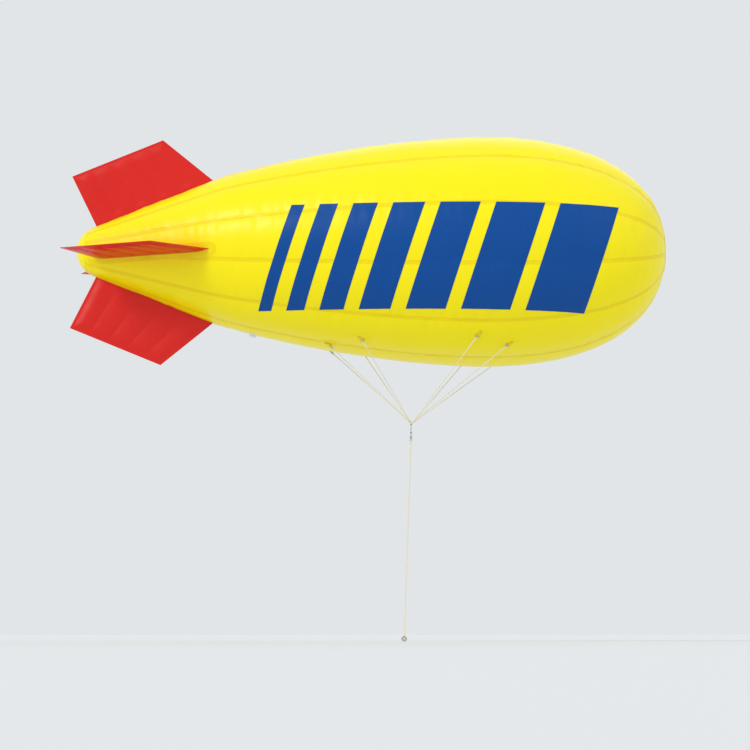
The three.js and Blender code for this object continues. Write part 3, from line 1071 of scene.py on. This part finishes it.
def make_print(form):
    """Slanted bars printed on both flanks. They keep their shape seen from the side."""
    length = sum(PRINT_WIDTHS) + PRINT["gap"] * (len(PRINT_WIDTHS) - 1) + PRINT["lean"]
    (low_rear, low_front), (high_rear, high_front) = PRINT["low"], PRINT["high"]
    rows = round((high_rear - low_rear) / PRINT["cell"])
    for name, side in SIDES:
        bars = []
        rear = PRINT["rear"]
        for width in PRINT_WIDTHS:

            def place(across, up):
                along = rear + width * across + PRINT["lean"] * up
                share = (along - PRINT["rear"]) / length
                low = low_rear + (low_front - low_rear) * share
                high = high_rear + (high_front - high_rear) * share
                return Vector((-side * along, low + (high - low) * up, 0))

            bars.append(panel(round(width / PRINT["cell"]), rows, place))
            rear += width + PRINT["gap"]
        printed = facing(joined(bars), UP)
        out = Vector((0, side, 0))
        start = out * (HULL["radius"] + DROP["sheet"])
        lift = SHEET_LIFT + PRINT["thickness"]
        settled(printed, form, lift, start, -side * FORWARD, UP, out)
        modified(printed, "SOLIDIFY", thickness=PRINT["thickness"], offset=-1)
        shown(printed, "flank_print_" + name, "balloon", BLUE_INK)


# Rope work

def strand_radius(radius):
    """The radius of one of a rope's three strands."""
    return radius / (1 + 2 / math.sqrt(3))


def laid(points, rope, steps=LAY_STEPS, closed=False):
    """Three strands twisted round a path, with the rope's radius and lay."""
    radius = rope["radius"]
    strand = strand_radius(radius)
    turns = max(1, round(distances(points)[-1] / rope["pitch"]))
    count = turns * steps
    first, _ = square_to((points[1] - points[0]).normalized())
    frames = []
    for centre, along in evenly(points, count):
        first = (first - along * first.dot(along)).normalized()
        frames.append((centre, first, along.cross(first)))
    if closed:
        frames.pop()  # it lies on the first
    strands = []
    for number in range(3):
        path = []
        for i, (centre, x, y) in enumerate(frames):
            turn = 2 * math.pi * (turns * i / count + number / 3)
            path.append(centre + (x * math.cos(turn) + y * math.sin(turn)) * (radius - strand))
        strands.append(tube(path, strand, closed))
    return joined(strands)


def splice(start, along, length, thick, thin, strand):
    """A splice: strands tucked over and under each other on a core, then a whipping."""
    side, up = square_to(along)
    tucks = SPLICE["tucks"]
    tucked = length * SPLICE["tucked"]
    steps = 3 * tucks
    rise = SPLICE["rise"] * strand
    parts = []
    for hand in (1, -1):
        for number in range(3):
            path = []
            for i in range(steps + 1):
                share = i / steps
                turn = 2 * math.pi * (hand * share * tucks / 6 + number / 3)
                over = hand * rise * math.cos(math.pi * share * tucks)
                reach = thick + (thin - thick) * share - strand - rise + over
                out = side * math.cos(turn) + up * math.sin(turn)
                path.append(start + along * tucked * share + out * reach)
            parts.append(tube(path, strand))
    inset = strand + 2 * rise
    core = thin * WHIPPING["core"]
    thread = WHIPPING["thread"]
    profile = [(0, 0), (thick - inset, 0), (thin - inset, tucked), (core, tucked)]
    valley, crown = thin + WHIPPING["valley"], thin + WHIPPING["crown"]
    ridges = round((length - tucked) / thread)
    for i in range(ridges):
        base = tucked + i * thread
        profile += [(valley, base), (crown, base + thread / 2)]
    profile += [(core, tucked + ridges * thread), (0, tucked + ridges * thread)]
    parts.append(upright(turned(profile, 20), start, along))
    return joined(parts)


def spliced_eye(rope, centre, pull, side):
    """A rope's eye round a wire, with the splice that closes it, and the end of its neck."""
    bend = math.acos(rope["eye"] / rope["neck"])
    neck_end = centre + pull * rope["neck"]
    steps = 18
    path = [neck_end]
    for i in range(steps + 1):
        angle = bend + (2 * math.pi - 2 * bend) * i / steps
        path.append(centre + (pull * math.cos(angle) + side * math.sin(angle)) * rope["eye"])
    path.append(neck_end)
    radius = rope["radius"]
    closing = splice(
        centre + pull * rope["neck"] * rope["splice_from"],
        pull,
        rope["splice"],
        radius * rope["thick"],
        radius * rope["thin"],
        strand_radius(radius),
    )
    return [laid(path, rope, EYE_STEPS), closing], neck_end


# Bridle

def ring_slot(angle, side):
    """Centre of the gathering ring's wire at an angle from its top, and the wire's direction."""
    out = Vector((0, side * math.sin(angle), math.cos(angle)))
    along = Vector((0, side * math.cos(angle), -math.sin(angle)))
    return RING["centre"] + out * RING["radius"], along


def make_patch(label, foot, normal, along, form):
    """A round load patch in two layers, welded on the hull."""
    across = normal.cross(along)
    start = foot + normal * DROP["disc"]
    layers = []
    for number, radius in enumerate((PATCH["radius"], PATCH["inner"])):
        layer = disc(radius, PATCH_GRID["sides"], PATCH_GRID["rings"])
        lift = SHEET_LIFT + TAPE["thickness"] + number * PATCH["layer"]
        settled(layer, form, lift, start, along, across, normal)
        modified(layer, "SOLIDIFY", thickness=PATCH["layer"], offset=1)
        layers.append(rounded(layer, PATCH["edge"]))
    shown(
        joined(layers), "load_patch_" + label, "balloon", YELLOW_FILM,
        ["bridle_patch_" + label],
    )


def strap_side(depth):
    """The strap's middle line seen from the side, from the bar's middle: out on the patch,
    round the bar and back on top of itself."""
    half = STRAP["thickness"] / 2
    fold = WIRE + STRAP["play"] + half
    below = half - depth
    above = below + STRAP["thickness"] * STRAP["lap"]
    end = -STRAP["length"]
    line = [Vector((x, below)) for x in (end, end * 0.75, end * 0.5, -fold * FOLD["below"])]
    for i in range(FOLD["steps"] + 1):
        angle = FOLD["first"] + FOLD["sweep"] * i / FOLD["steps"]
        line.append(Vector((math.cos(angle), math.sin(angle))) * fold)
    line.append(Vector((-fold * FOLD["above"], above + FOLD["rise"])))
    line += [Vector((x, above)) for x in (end * 0.5, end * 0.75, end)]
    return line, above + half


def make_strap(label, bar_centre, normal, along, across, depth):
    """A webbing strap folded round the D ring's bar and sewn to the patch."""
    line, face = strap_side(depth)
    columns = len(line) - 1

    def place(share, aside):
        point = line[round(share * columns)]
        return Vector((point.x, (aside - 0.5) * STRAP["width"], point.y))

    strap = panel(columns, STRAP["columns"], place)
    modified(strap, "SOLIDIFY", thickness=STRAP["thickness"], offset=0)
    rounded(strap, STRAP["edge"])
    modified(strap, "SUBSURF", levels=1, render_levels=1)
    stitches = []
    for from_end in STITCH_ROWS:
        for i in range(STITCH["count"]):
            aside = (i - (STITCH["count"] - 1) / 2) * STITCH["pitch"]
            bpy.ops.mesh.primitive_cylinder_add(
                vertices=6,
                radius=STITCH["thread"],
                depth=STITCH["length"],
                location=(from_end - STRAP["length"], aside, face + STITCH["up"]),
                rotation=(math.pi / 2, 0, 0),
            )
            bpy.ops.object.transform_apply(location=True, rotation=True)
            stitches.append(bpy.context.object)
    strap = joined([strap] + stitches)
    placed(strap, bar_centre, along, across, normal)
    shown(strap, "strap_" + label, "balloon", WEBBING)


def d_ring_path():
    """A D ring's wire, across and along its pull from the bar's middle: bow and corners."""
    radius, corner = D_RING["radius"], D_RING["corner"]
    aside = math.sqrt((radius - corner) ** 2 - corner**2)
    meets = math.atan2(corner, aside)
    arcs = (
        (Vector((0, 0)), radius, meets, math.pi - meets, 22),
        (Vector((-aside, corner)), corner, math.pi - meets, 1.5 * math.pi, 7),
        (Vector((aside, corner)), corner, 1.5 * math.pi, 2 * math.pi + meets, 7),
    )
    path = []
    for middle, reach, first, last, steps in arcs:
        for i in range(steps):
            angle = first + (last - first) * i / steps
            path.append(middle + Vector((math.cos(angle), math.sin(angle))) * reach)
    return path


def make_d_ring(label, centre, pull, across):
    """A ring bent from round bar: a straight side in the strap and a bow for the line."""
    path = [centre + across * point.x + pull * point.y for point in d_ring_path()]
    ring = tube(path, WIRE, closed=True, resolution=3)
    shown(ring, "d_ring_" + label, "balloon", STEEL, ["bridle_d_ring_" + label])


def make_line(label, top, bottom, wire_top, wire_bottom):
    """A laid line between the D ring's bow and the gathering ring, an eye at each end."""
    pull = (bottom - top).normalized()
    upper, upper_end = spliced_eye(LINE, top, pull, wire_top.cross(pull).normalized())
    lower, lower_end = spliced_eye(LINE, bottom, -pull, wire_bottom.cross(pull).normalized())
    rope = laid([upper_end, lower_end], LINE)
    shown(
        joined([rope] + upper + lower), "line_" + label, "balloon", ROPE,
        ["bridle_line_" + label], STRAND_CREASE,
    )


def make_bridle_leg(label, station, angle, slot, side, form):
    """One line of the bridle, with the patch, strap and D ring that hold it on the hull."""
    x = station - HULL["origin"]
    round_out = Vector((0, side * math.cos(angle), -math.sin(angle)))
    point, slope = outline_over(x)
    normal = (Vector((slope.x, 0, 0)) + round_out * slope.y).normalized()
    foot = Vector((x, 0, 0)) + round_out * point.y
    bar_centre = foot + normal * STRAP["bar_height"]
    lower, wire = ring_slot(slot, side)
    pull = (lower - bar_centre).normalized()
    along = (pull - normal * pull.dot(normal)).normalized()
    across = normal.cross(along)
    film = hull_radius(x, math.atan2(-round_out.y, round_out.z))
    patch_height = SHEET_LIFT + TAPE["thickness"] + 2 * PATCH["layer"]
    depth = STRAP["bar_height"] + point.y - film - patch_height
    make_patch(label, foot, normal, along, form)
    make_strap(label, bar_centre, normal, along, across, depth)
    make_d_ring(label, bar_centre, pull, across)
    make_line(label, bar_centre + pull * D_RING["radius"], lower, across, wire)


def make_bridle(form):
    for side_name, side in SIDES:
        for number, (station, angle, slot) in enumerate(BRIDLE, start=1):
            make_bridle_leg(f"{side_name}_{number}", station, angle, slot, side, form)
    ring = wire_ring(RING["centre"], FORWARD, RING["radius"], WIRE, 72, 16)
    bead = RING["centre"] + Vector((0, -RING["radius"], 0))
    reach = UP * RING_WELD["half_length"]
    weld = tube([bead - reach, bead, bead + reach], WIRE * RING_WELD["thick"], resolution=3)
    shown(joined([ring, weld]), "gathering_ring", "balloon", STEEL, ["bridle_ring"])


# Tether

TOP = RING["centre"] - UP * RING["radius"]
DOWN = (FOOT - TOP).normalized()
ACROSS = Vector((0, 1, 0))
ALONG = ACROSS.cross(DOWN)


def down_tether(distance):
    return TOP + DOWN * distance


def make_swivel_bow():
    """The swivel's upper eye and its collared stem, which the barrel turns on."""
    eye = wire_ring(TOP, ACROSS, SWIVEL["eye"], SWIVEL["wire"], 40, 14)
    start, end, stem = SWIVEL["eye"] * 0.9, SWIVEL["stem_end"], SWIVEL["stem"]
    collar = BARREL["top"] - SWIVEL["gap"]
    # A flare under the eye, a collar just over the barrel, and the plain stem inside it
    profile = [
        (0, start), (stem * 1.5, start + 2 * MM), (stem, start + 6 * MM),
        (stem, collar - 3 * MM), (stem * 1.9, collar - 2.6 * MM), (stem * 1.9, collar - 0.4 * MM),
        (stem * 1.6, collar), (stem, collar), (stem, end), (0, end),
    ]
    shank = upright(turned(profile, 32), TOP, DOWN)
    shown(joined([eye, shank]), "swivel_bow", "swivel_top", STEEL, ["swivel_eye"])


def make_swivel_body():
    """The swivel's barrel, with the lower eye that the tether is spliced on."""
    r, bore = BARREL["radius"], BARREL["bore"]
    top, bore_end, end = BARREL["top"], BARREL["bore_end"], BARREL["end"]
    # The bore, a rounded top edge, the grooves, and an end that tapers to the lower eye
    profile = [
        (0, bore_end), (bore, bore_end), (bore, top), (r - 2 * MM, top),
        (r - 0.6 * MM, top + 0.5 * MM), (r, top + 1.8 * MM),
    ]
    for share in GROOVES:
        at = top + (end - top) * share
        floor = r - GROOVE_DEPTH
        profile += [
            (r, at), (floor, at + GROOVE_DEPTH), (floor, at + 2 * GROOVE_DEPTH),
            (r, at + 3 * GROOVE_DEPTH),
        ]
    profile += [
        (r, end - 5 * MM), (r - 1 * MM, end - 2.4 * MM), (r - 4 * MM, end), (0, end),
    ]
    barrel = upright(turned(profile, 40), TOP, DOWN)
    centre = down_tether(LOWER_EYE["at"])
    eye = wire_ring(centre, ACROSS, LOWER_EYE["radius"], SWIVEL["wire"], 40, 14)
    shown(joined([barrel, eye]), "swivel_body", "tether_line", STEEL, ["swivel_barrel"])


def make_tether_rope(neck_top):
    """The tether, from its eye on the swivel down to the end loop's neck."""
    centre = down_tether(LOWER_EYE["at"] + LOWER_EYE["radius"])
    eye, eye_end = spliced_eye(TETHER, centre, DOWN, ACROSS)
    rope = laid([eye_end, down_tether(neck_top)], TETHER)
    shown(
        joined([rope] + eye), "tether_rope", "tether_line", ROPE, ["tether"],
        STRAND_CREASE,
    )


def make_end_loop(centre, neck_start):
    """The rope's end, laid round the thimble and spliced back up into the tether."""
    steps = 48
    circle = []
    for i in range(steps + 1):
        angle = 2 * math.pi * i / steps
        out = ALONG * math.cos(angle) + DOWN * math.sin(angle)
        circle.append(centre + out * END_LOOP["centre"])
    loop = laid(circle, END_LOOP, closed=True)
    neck = splice(
        neck_start,
        -DOWN,
        END_LOOP["neck"],
        END_LOOP["neck_base"],
        END_LOOP["neck_top"],
        strand_radius(TETHER["radius"]),
    )
    shown(
        joined([loop, neck]), "tether_loop", "tether_line", ROPE, ["tether_end_splice"],
        STRAND_CREASE,
    )


def make_thimble(centre):
    """A round thimble: two cheeks with rounded lips, and the groove that the rope lies in."""
    bore, cheek, half = THIMBLE["bore"], THIMBLE["cheek"], THIMBLE["half_width"]
    lip, groove, edge = THIMBLE["lip"], THIMBLE["groove"], THIMBLE["round"]
    shoulder, shoulder_half = THIMBLE["shoulder"], THIMBLE["shoulder_half"]
    upper_half = [
        (groove, 0), (groove + 0.4 * MM, 0.45 * shoulder_half), (shoulder, shoulder_half),
        (cheek - edge, lip), (cheek, half - edge), (cheek - edge, half), (bore + edge, half),
        (bore, half - edge),
    ]
    lower_half = [(radius, -height) for radius, height in reversed(upper_half[1:])]
    profile = upper_half + lower_half + upper_half[:1]
    thimble = upright(turned(profile, 48), centre, ACROSS)
    shown(thimble, "thimble", "tether_line", STEEL, ["tether_thimble"])


def make_tether():
    thimble_at = (FOOT - TOP).length - END_LOOP["centre"] - END_LOOP["clear"]
    neck_base = thimble_at - END_LOOP["neck_start"]
    make_tether_rope(neck_base - END_LOOP["neck"])
    make_end_loop(down_tether(thimble_at), down_tether(neck_base))
    make_thimble(down_tether(thimble_at))


# Fill valve

def make_valve_seat(foot, out, form):
    """The valve's flange, welded on the film, and the collar that its cap fits."""
    first, second = square_to(out)
    flange = disc(VALVE["flange"], 72, 8)
    settled(flange, form, SHEET_LIFT, foot + out * DROP["disc"], first, second, out)
    modified(flange, "SOLIDIFY", thickness=VALVE["thickness"], offset=1)
    rounded(flange, VALVE["edge"])
    c, h, bead = VALVE["collar"], VALVE["height"], VALVE["bead"]
    inside, flared = c - VALVE["wall"], c + VALVE["flare"]
    # A foot that flares on the flange, the outer wall with its bead, and the wall's inside
    collar = turned(
        [(flared, 2 * MM), (c + 3 * MM, 5 * MM), (c, 10 * MM), (c, h - 6 * MM),
         (c + bead, h - 5.4 * MM), (c + bead, h - bead), (c, h), (inside, h),
         (inside, 2 * MM), (flared, 2 * MM)],
        64,
    )
    upright(collar, foot, out)
    shown(
        joined([flange, collar]), "valve_seat", "balloon", PLASTIC,
        ["valve_flange"],
    )


def make_valve_cap(foot, out):
    """The cap: a ribbed skirt over the collar and a knob to pull it by."""
    bore, r, knob = VALVE["collar"] + 1 * MM, CAP["radius"], CAP["knob"]
    under, skirt = VALVE["height"] + CAP["gap"], VALVE["height"] - CAP["skirt"]
    top = VALVE["height"] + CAP["top"]
    knob_top = top + CAP["knob_height"]
    steps = 2 * CAP["ribs"]
    # The hollow that takes the collar, the rounded skirt, the flat top and the tapered knob
    cap = turned(
        [(0, under), (bore, under), (bore, skirt), (r - 0.6 * MM, skirt),
         (r - 0.2 * MM, skirt + 0.6 * MM), (r - 0.2 * MM, top - 2.1 * MM), (r - 2 * MM, top),
         (knob, top), (knob - 1 * MM, knob_top - 0.8 * MM), (knob - 2.5 * MM, knob_top),
         (0, knob_top)],
        steps,
    )
    with editing(cap, "DESELECT"):
        bpy.ops.mesh.select_mode(type="FACE")
    for polygon in cap.data.polygons:
        centre = polygon.center
        angle = math.atan2(centre.y, centre.x)
        rib = int((angle + math.pi) / (2 * math.pi) * steps) % 2 == 0
        polygon.select = rib and abs(polygon.normal.z) < 0.1 and centre.xy.length > r - 1 * MM
    activate(cap)
    bpy.ops.object.mode_set(mode="EDIT")
    bpy.ops.mesh.extrude_faces_move(TRANSFORM_OT_shrink_fatten={"value": CAP["rib"]})
    bpy.ops.object.mode_set(mode="OBJECT")
    upright(cap, foot, out)
    shown(cap, "valve_plug", "balloon", PLASTIC, ["valve_cap"])


def make_valve(form):
    """A moulded filling valve on the belly."""
    x = VALVE["station"] - HULL["origin"]
    point, slope = outline_over(x)
    out = Vector((slope.x, 0, -slope.y))
    foot = Vector((x, 0, -point.y))
    make_valve_seat(foot, out, form)
    make_valve_cap(foot, out)


# Scene

def make_camera():
    camera = linked("camera", bpy.data.cameras.new("camera"))
    camera.location = CAMERA["place"]
    camera.rotation_euler = (math.pi / 2 + CAMERA["tilt"], 0, 0)
    camera.data.sensor_width = SENSOR
    camera.data.lens = CAMERA["lens"]
    camera.data.clip_end = VIEW_END
    bpy.context.scene.camera = camera


def make_floor():
    """A plain pale floor, just under the tether's end."""
    level = CAD_BOX[0].z - FLOOR["below"]
    bpy.ops.mesh.primitive_plane_add(size=FLOOR["size"], location=(0, 0, level))
    floor = bpy.context.object
    floor.name = "floor"
    material, shader = new_material("pale_floor")
    shader.inputs["Base Color"].default_value = linear(FLOOR["colour"])
    shader.inputs["Roughness"].default_value = FLOOR["roughness"]
    floor.data.materials.append(material)


def make_light():
    scene = bpy.context.scene
    scene.view_settings.view_transform = "Standard"
    world = bpy.data.worlds.new("studio")
    world.use_nodes = True
    background = world.node_tree.nodes["Background"]
    background.inputs["Color"].default_value = linear(STUDIO["colour"])
    background.inputs["Strength"].default_value = STUDIO["strength"]
    scene.world = world
    for name, strength, spread, turn in SUNS:
        light = bpy.data.lights.new(name, "SUN")
        light.energy = strength
        light.angle = spread
        linked(name, light).rotation_euler = turn


make_camera()
make_floor()
make_light()
hull_form = make_envelope()
taped_form = make_seam_tapes(hull_form)
make_end_discs()
make_fins(hull_form)
make_print(taped_form)
make_bridle(hull_form)
make_swivel_bow()
make_swivel_body()
make_tether()
make_valve(hull_form)
bpy.data.objects.remove(hull_form)
bpy.data.objects.remove(taped_form)
